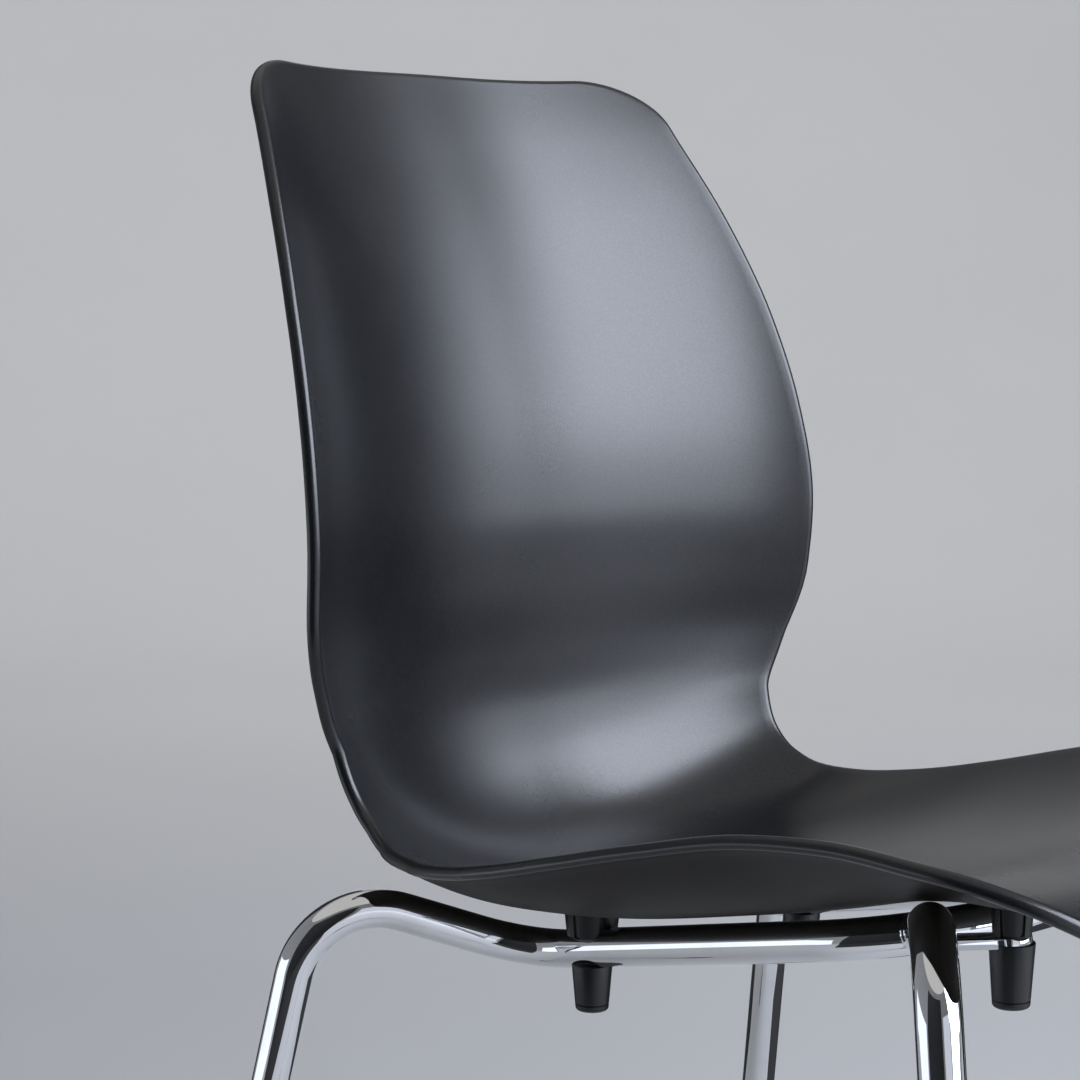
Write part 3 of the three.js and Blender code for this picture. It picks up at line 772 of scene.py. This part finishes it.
def make_long_tube():
    shoulder = from_screws(*REAR_SHOULDER)
    corners = [
        rail_point(0, CROSSBAR_REACH),
        rail_point(SCREW_X, CROSSBAR_REACH),
        rail_point(SCREW_X, -KINK_REACH),
        shoulder,
        tube_end(feet["foot_rear_left"], shoulder),
    ]
    tube = bent_tube(corners, [CORNER_RADIUS, KINK_RADIUS, LEG_BEND_RADIUS])
    tube.bridge(tube.end)
    bm = tube.bm
    bmesh.ops.mirror(bm, geom=everything(bm), merge_dist=MIRROR_MERGE_DISTANCE, axis="X")
    return bm


long_tube = make_long_tube()
long_tube_tree = BVHTree.FromBMesh(long_tube)
piece_from(long_tube, "long_frame_tube", CHROME, "main_frame_tube")

# %% [markdown]
# Each front leg starts at its foot, bends over at the shoulder and runs back to the corner of the
# long tube, where it is cut to a saddle and welded. The cut is found by sending a ray down the leg
# at each point of its end ring until it meets the long tube.

# %% The front legs
FRONT_SHOULDER = Vector((184.5, -290, 78.5)) * MM
SADDLE_SINK = 0.4 * MM
SADDLE_REACH = 3 * TUBE_RADIUS
RAY_INSET = 0.2 * MM


def corner_middle(side):
    """The middle of a front corner's bend, on the long tube's line."""
    inset = CORNER_RADIUS * (1 - math.sqrt(1 / 2))
    reach = CROSSBAR_REACH - inset * math.cos(RAIL_TILT)
    return rail_point(side * (SCREW_X - inset), reach)


def mirrored(point, side):
    return Vector((side * point.x, point.y, point.z))


def cut_saddle(tube):
    """Pushes the end ring on until each point of it meets the long tube."""
    for v in {v for e in tube.end for v in e.verts}:
        back = v.co - tube.heading * SADDLE_REACH
        inward = (tube.place - v.co).normalized() * RAY_INSET
        hit = long_tube_tree.ray_cast(back + inward, tube.heading)[0]
        if hit:
            v.co += tube.heading * ((hit - back).dot(tube.heading) - SADDLE_REACH + SADDLE_SINK)


def make_front_leg(word, side):
    foot = feet[f"foot_front_{word}"]
    shoulder = mirrored(from_screws(*FRONT_SHOULDER), side)
    tube = bent_tube([tube_end(foot, shoulder), shoulder, corner_middle(side)], [LEG_BEND_RADIUS])
    cut_saddle(tube)
    tube.bridge(tube.start)
    tube.bridge(tube.end)
    piece_from(tube.bm, f"front_leg_tube_{word}", CHROME, f"front_leg_{word}")
    return tube.heading


leg_headings = {side: make_front_leg(word, side) for word, side in SIDES}

# %% [markdown]
# A weld is a bead that follows the seam between two tubes. Rays down the leg's outside find the
# seam, a curve is laid through the points with a slightly uneven thickness, like the ripples that a
# welder leaves, and it is turned into a mesh.

# %% The welds at the front corners
WELD_RADIUS = 1.3 * MM
WELD_POINTS = 72
WELD_ROUNDNESS = 3
WELD_RIPPLE = 0.12
RIPPLE_TURN = 2.1
SEAM_INSET = 0.1 * MM
SEAM_REACH = 4 * TUBE_RADIUS
CHROME_WELD = chrome_finish("chrome_on_weld", haze=0.1)


def seam_points(side):
    heading = leg_headings[side]
    across = heading.cross(UP).normalized() * (TUBE_RADIUS - SEAM_INSET)
    points = []
    for k in range(WELD_POINTS):
        around = Quaternion(heading, 2 * math.pi * k / WELD_POINTS) @ across
        start = corner_middle(side) + around - heading * SEAM_REACH
        hit = long_tube_tree.ray_cast(start, heading)[0]
        if hit:
            points.append(hit)
    return points


def make_weld(name, points, replaced):
    curve = bpy.data.curves.new(name, "CURVE")
    curve.dimensions = "3D"
    curve.bevel_depth = WELD_RADIUS
    curve.bevel_resolution = WELD_ROUNDNESS
    spline = curve.splines.new("POLY")
    spline.points.add(len(points) - 1)
    spline.use_cyclic_u = True
    for k, (point, place) in enumerate(zip(spline.points, points)):
        point.co = (*place, 1)
        point.radius = 1 + WELD_RIPPLE * math.sin(k * RIPPLE_TURN)
    bent = bpy.data.objects.new(name, curve)
    bm = bmesh.new()
    bm.from_mesh(bent.to_mesh())
    bpy.data.objects.remove(bent)
    bpy.data.curves.remove(curve)
    piece_from(bm, name, CHROME_WELD, replaced)


for word, side in SIDES:
    make_weld(f"weld_{word}", seam_points(side), f"front_leg_{word}")

# %% [markdown]
# A flat bar is welded into each front corner and carries the front of the shell. It is a cube
# stretched to the bar's size. Bevelling its two front corners by half the width makes the round
# end, and a small bevel all round breaks the sharp edges, as the tumbling before plating does. Its
# rear end is cut by a plane along the middle of the front leg, so that it ends inside the joint.

# %% The flat bars
BAR_HALF_WIDTH = 10.5 * MM
BAR_THICKNESS = 5 * MM
BAR_DROP = 2 * MM
BAR_EDGE = 0.8 * MM
BAR_EDGE_STEPS = 4
BAR_END_SETBACK = 1.6 * MM
BAR_END_STEPS = 16
BAR_OVERRUN = CORNER_RADIUS / 3
ALMOST_HALF = 0.999
SHARP_FROM = math.radians(60)


def round_off(bm, edges, size, steps):
    bmesh.ops.bevel(
        bm, geom=edges, offset=size, affect="EDGES", segments=steps, profile=0.5, material=-1
    )


def cut_off(bm, place, outward):
    """Cuts away what lies past a plane, closes the cut and gives its edges back."""
    cut = bmesh.ops.bisect_plane(
        bm, geom=everything(bm), plane_co=place, plane_no=outward, clear_outer=True
    )
    edges = only(BMEdge, cut["geom_cut"])
    bmesh.ops.contextual_create(bm, geom=edges)
    return edges


def make_bar(word, side):
    end = BAR_HALF_WIDTH - BAR_END_SETBACK
    length = (FRONT_SCREW_REACH - CROSSBAR_REACH) / math.cos(RAIL_TILT) + BAR_OVERRUN
    bm = bmesh.new()
    bmesh.ops.create_cube(bm, size=1)
    bmesh.ops.translate(bm, vec=(0, 0.5, 0), verts=bm.verts)
    bmesh.ops.scale(bm, vec=(2 * BAR_HALF_WIDTH, length + end, BAR_THICKNESS), verts=bm.verts)
    bmesh.ops.translate(bm, vec=(0, -end, 0), verts=bm.verts)
    upright = [e for e in bm.edges if all(v.co.y < 0 for v in e.verts)]
    upright = [e for e in upright if abs(e.verts[0].co.z - e.verts[1].co.z) > BAR_THICKNESS / 2]
    round_off(bm, upright, BAR_HALF_WIDTH * ALMOST_HALF, BAR_END_STEPS)
    rim = [e for e in bm.edges if e.calc_face_angle(0) > SHARP_FROM]
    round_off(bm, rim, BAR_EDGE, BAR_EDGE_STEPS)
    bmesh.ops.rotate(bm, cent=(0, 0, 0), matrix=Matrix.Rotation(-RAIL_TILT, 3, "X"), verts=bm.verts)
    place = rail_point(side * SCREW_X, FRONT_SCREW_REACH) - UP * BAR_DROP
    bmesh.ops.translate(bm, vec=place, verts=bm.verts)
    cut_off(bm, corner_middle(side), leg_headings[side].cross(UP) * side)
    piece_from(bm, f"flat_bar_{word}", CHROME, f"front_bar_{word}")


for word, side in SIDES:
    make_bar(word, side)

# %% [markdown]
# The caps under the frame keep stacked chairs from scratching each other. Each is a turned form, so
# its profile is drawn once as a closed outline, radius against height, and spun round the screw's
# axis. The outline has the small things that show on the real cap: a rounded lower edge, a fine
# groove above it, and the deep hole that hides the screw's head.

# %% A lathe for turned pieces
TURNED_STEPS = 64


def turned(profile, closed=True):
    """Spins an outline of (radius, height) points round the Z axis."""
    bm = bmesh.new()
    verts = [bm.verts.new((radius, 0, height)) for radius, height in profile]
    for a, b in zip(verts, verts[1:]):
        bm.edges.new((a, b))
    if closed:
        bm.edges.new((verts[-1], verts[0]))
    bmesh.ops.spin(
        bm,
        geom=bm.verts[:] + bm.edges[:],
        cent=(0, 0, 0),
        axis=UP,
        angle=2 * math.pi,
        steps=TURNED_STEPS,
        use_merge=True,
    )
    bmesh.ops.remove_doubles(bm, verts=bm.verts, dist=MERGE_DISTANCE)
    return bm


# %% The stacking caps
CAP_END_RADIUS = 8.5 * MM
CAP_TOP_RADIUS = 10.4 * MM
CAP_EDGE = 2 * MM
CAP_TOP_EDGE = 0.4 * MM
CAP_TOP_STEPS = 3
CAP_GROOVE_HEIGHT = 3.6 * MM
CAP_GROOVE = 0.35 * MM
CAP_WRAP = 2 * MM
CAP_BORE = 3.25 * MM
CAP_COUNTERBORE = 5.5 * MM
CAP_COUNTERBORE_DEPTH = 15 * MM


def cap_profile(crown):
    """The cap's outline from its flat end, at height zero, to its crown."""

    def side_at(height):
        share = (height - CAP_EDGE) / (crown - CAP_EDGE)
        return CAP_END_RADIUS + (CAP_TOP_RADIUS - CAP_END_RADIUS) * share

    groove = [
        (side_at(CAP_GROOVE_HEIGHT - CAP_GROOVE), CAP_GROOVE_HEIGHT - CAP_GROOVE),
        (side_at(CAP_GROOVE_HEIGHT) - CAP_GROOVE, CAP_GROOVE_HEIGHT),
        (side_at(CAP_GROOVE_HEIGHT + CAP_GROOVE), CAP_GROOVE_HEIGHT + CAP_GROOVE),
    ]
    top_middle = CAP_TOP_RADIUS - CAP_TOP_EDGE
    top = arc(top_middle, crown - CAP_TOP_EDGE, CAP_TOP_EDGE, 0, 90, CAP_TOP_STEPS)
    hole = [
        (CAP_BORE, crown),
        (CAP_BORE, CAP_COUNTERBORE_DEPTH),
        (CAP_COUNTERBORE, CAP_COUNTERBORE_DEPTH),
        (CAP_COUNTERBORE, CAP_TOP_EDGE),
        (CAP_COUNTERBORE + CAP_TOP_EDGE, 0),
    ]
    edge = arc(CAP_END_RADIUS - CAP_EDGE, CAP_EDGE, CAP_EDGE, -90, 0)
    return edge + groove + top + hole


def make_cap(node, crown):
    place = middle_of(node)
    place.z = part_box(node)[0].z
    bm = turned(cap_profile(crown))
    bmesh.ops.translate(bm, vec=place, verts=bm.verts)
    return bm


cap_crowns = {
    "rear": BUFFER_DEPTH - TUBE_RADIUS + CAP_WRAP,
    "front": BUFFER_DEPTH - BAR_DROP - BAR_THICKNESS / 2 + CAP_WRAP,
}
for word, _ in SIDES:
    for end, crown in cap_crowns.items():
        node = f"stacking_buffer_{end}_{word}"
        piece_from(make_cap(node, crown), f"stacking_cap_{end}_{word}", BLACK_PLASTIC, node)

# %% [markdown]
# The glides are cups pushed over the tubes' ends. Each is turned round the leg's own line, tilted to
# the leg, and then cut level with the floor by a plane, which is how they wear in as well.

# %% The glides
GLIDE_LENGTH = 34 * MM
GLIDE_WALL = 2.6 * MM
GLIDE_FLOOR = 6 * MM
GLIDE_FLARE = 1.6 * MM
GLIDE_EDGE = 1.2 * MM
GLIDE_SOLE_EDGE = 0.7 * MM
GLIDE_SOLE_STEPS = 3
FIT_GAP = 0.1 * MM


def glide_profile():
    inner = TUBE_RADIUS + FIT_GAP
    outer = inner + GLIDE_WALL
    low = -outer
    rim = arc(outer - GLIDE_EDGE, GLIDE_LENGTH - GLIDE_EDGE, GLIDE_EDGE, 0, 90)
    foot = [(0, low), (outer + GLIDE_FLARE, low), (outer + GLIDE_FLARE, GLIDE_FLOOR)]
    return foot + rim + [(inner, GLIDE_LENGTH), (inner, GLIDE_FLOOR), (0, GLIDE_FLOOR)]


def make_glide(word, end, side, shoulder):
    foot = feet[f"foot_{end}_{word}"]
    leg = (mirrored(shoulder, side) - foot).normalized()
    bm = turned(glide_profile(), closed=False)
    tilt = UP.rotation_difference(leg).to_matrix()
    bmesh.ops.rotate(bm, cent=(0, 0, 0), matrix=tilt, verts=bm.verts)
    bmesh.ops.translate(bm, vec=foot, verts=bm.verts)
    sole = cut_off(bm, (0, 0, 0), -UP)
    round_off(bm, sole, GLIDE_SOLE_EDGE, GLIDE_SOLE_STEPS)
    piece_from(bm, f"glide_{end}_{word}", BLACK_PLASTIC, f"{end}_glide_{word}")


for word, side in SIDES:
    make_glide(word, "front", side, from_screws(*FRONT_SHOULDER))
    make_glide(word, "rear", side, from_screws(*REAR_SHOULDER))

# %% [markdown]
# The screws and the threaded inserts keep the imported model's own solids, which are the right shape,
# and only get a finish.

# %% Finishes on the pieces that stay
for name, node in nodes.items():
    finish = ZINC if "screw" in name else BRASS if "insert" in name else None
    if finish:
        for place in node.material_slots:
            place.material = finish
        print(name, "wears", finish.name)

# %% [markdown]
# The stage is a bowl, not a wall: a round pale floor that turns up all round, so that any view of
# the chair has the same plain ground behind it, with no edge or horizon.

# %% The stage
STAGE_FLOOR = 3.6
STAGE_CURVE = 3.4
STAGE_HEIGHT = 7.0
STAGE_STEPS = 24
STAGE_CLOUD = 0.6
PAPER_COLOURS = ((0.425, 0.425, 0.427), (0.445, 0.445, 0.447))


def stage_finish():
    finish = Finish("stage_paper", Roughness=0.9, Specular_IOR_Level=0.2)
    cloud = finish.noise(STAGE_CLOUD)
    return finish.vary(Base_Color=finish.blend(cloud, *PAPER_COLOURS))


def make_stage():
    turn = arc(STAGE_FLOOR, STAGE_CURVE, STAGE_CURVE, -90, 0, STAGE_STEPS)
    bm = turned([(0, 0)] + turn + [(STAGE_FLOOR + STAGE_CURVE, STAGE_HEIGHT)], closed=False)
    bmesh.ops.recalc_face_normals(bm, faces=bm.faces)
    mesh = mesh_from(bm, "stage")
    mesh.shade_smooth()
    mesh.materials.append(stage_finish())
    put_in_scene("stage", mesh)
    print("stage:", len(mesh.polygons), "faces")


make_stage()

# %% [markdown]
# Black plastic and chrome show their lamps more than they show themselves. One very large soft lamp
# stands in front of the chair and a little to its left, where its mirror image fills the middle of
# the back and the bend of the seat. A second, weaker one continues it downwards. Two dim strips draw
# the white lines along the chromed legs. A spot brightens the backdrop behind the chair, and a wide
# even light fills the rest.
#
# Between the lamps stand black flags. They are seen only in mirror images, and give the chrome its
# dark lines; the camera looks through them and they throw no shadow. The picture is shown in plain
# colours, without a film's curve.

# %% The lamps
BACK_MIDDLE = Vector((0.08, 0.2, 0.65))
LAMP_COLOUR = (0.86, 0.92, 1.06)
SPOT_RADIUS = 0.3
FLAG_INNER_REACH = 0.8
FLAG_REACH = 1.6
FLAG_HEIGHT = 1.5
FLAG_LIFT = 0.01
FLAG_STEPS = 12
FLAG_CLOTH = Finish("flag_cloth", Base_Color=(0.01, 0.01, 0.01, 1), Roughness=1.0).material


def direction(azimuth, elevation):
    """A direction by angles in degrees: azimuth 0 is ahead of the sitter, 90 to their left."""
    a, e = math.radians(azimuth), math.radians(elevation)
    return Vector((math.sin(a) * math.cos(e), -math.cos(a) * math.cos(e), math.sin(e)))


def softbox(name, azimuth, elevation, distance, size, power):
    """A soft lamp of a width and a height that faces the middle of the back."""
    data = bpy.data.lights.new(name, "AREA")
    data.shape = "RECTANGLE"
    data.size, data.size_y = size
    data.energy = power
    data.color = LAMP_COLOUR
    lamp = put_in_scene(name, data)
    away = direction(azimuth, elevation)
    lamp.location = BACK_MIDDLE + away * distance
    lamp.rotation_euler = away.to_track_quat("Z", "Y").to_euler()


def backdrop_spot(place, target, angle, power):
    data = bpy.data.lights.new("backdrop_spot", "SPOT")
    data.energy = power
    data.spot_size = math.radians(angle)
    data.spot_blend = 1.0
    data.shadow_soft_size = SPOT_RADIUS
    lamp = put_in_scene("backdrop_spot", data)
    lamp.location = place
    lamp.rotation_euler = (Vector(place) - Vector(target)).to_track_quat("Z", "Y").to_euler()


def fill_light(strength, colour):
    world = bpy.data.worlds.new("fill")
    world.use_nodes = True
    background = world.node_tree.nodes["Background"]
    background.inputs["Color"].default_value = (*colour, 1)
    background.inputs["Strength"].default_value = strength
    bpy.context.scene.world = world


def black_flag(name, start, end, inner=FLAG_INNER_REACH):
    """Black cloth on the floor and up a curved screen, between two azimuths in degrees."""
    bm = bmesh.new()
    profile = [(inner, FLAG_LIFT), (FLAG_REACH, FLAG_LIFT), (FLAG_REACH, FLAG_HEIGHT)]
    verts = [bm.verts.new(direction(start, 0) * reach + UP * z) for reach, z in profile]
    edges = [bm.edges.new(pair) for pair in zip(verts, verts[1:])]
    turn = math.radians(end - start)
    bmesh.ops.spin(bm, geom=verts + edges, cent=(0, 0, 0), axis=UP, angle=turn, steps=FLAG_STEPS)
    mesh = mesh_from(bm, name)
    mesh.materials.append(FLAG_CLOTH)
    flag = put_in_scene(name, mesh)
    flag.visible_camera = False
    flag.visible_diffuse = False
    flag.visible_shadow = False


softbox("main_lamp", azimuth=21, elevation=30, distance=3.6, size=(3.4, 2.42), power=238)
softbox("low_lamp", azimuth=22, elevation=2, distance=2.6, size=(2.4, 0.8), power=25)
softbox("strip_behind_camera", azimuth=-20, elevation=0, distance=2.4, size=(1.1, 1.2), power=2.2)
softbox("strip_beside_camera", azimuth=-128, elevation=-13, distance=1.9, size=(2.0, 0.8), power=5.2)
backdrop_spot(place=(1.35, 1.6, 5.6), target=(4.1, 4.35, 1.2), angle=104, power=760)
black_flag("flag_behind_left", start=60, end=119, inner=0.3)
black_flag("flag_behind_right", start=151, end=186)
black_flag("flag_beside_camera", start=-98, end=-40)
fill_light(strength=0.53, colour=(1.0, 0.99, 0.97))
bpy.context.scene.view_settings.view_transform = "Standard"
print("lights:", [light.name for light in bpy.data.lights])
